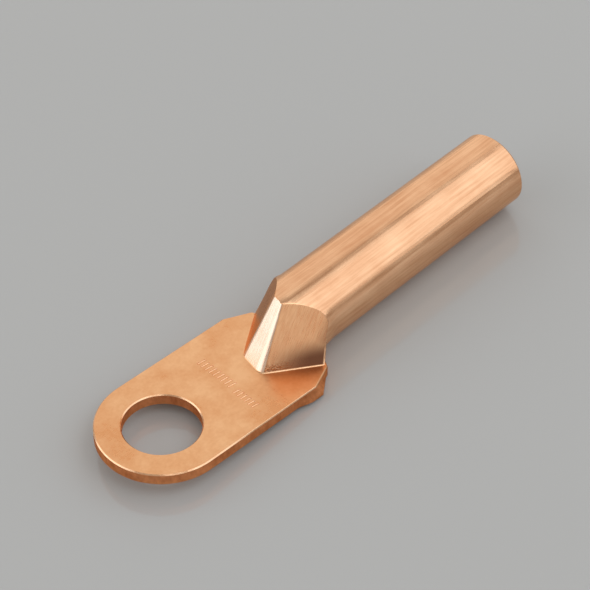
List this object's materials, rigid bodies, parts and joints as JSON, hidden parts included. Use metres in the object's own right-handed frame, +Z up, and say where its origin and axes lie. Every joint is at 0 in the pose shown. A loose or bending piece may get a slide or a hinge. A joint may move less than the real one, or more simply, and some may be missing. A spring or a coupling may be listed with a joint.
{
  "type": "cable lug",
  "caption": "One-piece copper cable lug: a round barrel drilled for the wire runs through a faceted shoulder into a flat, round-ended palm with a bolt hole.",
  "frame": {"origin": "under the middle of the lug's overall length, on the level of the barrel's lowest line", "axes": "+X along the barrel towards its open end, +Z up from the contact face of the palm"},
  "size_m": [0.0728, 0.0188, 0.011],
  "materials": {
    "copper": "satin"
  },
  "bodies": {
    "root": {"cable_lug": "copper"}
  },
  "joints": []
}
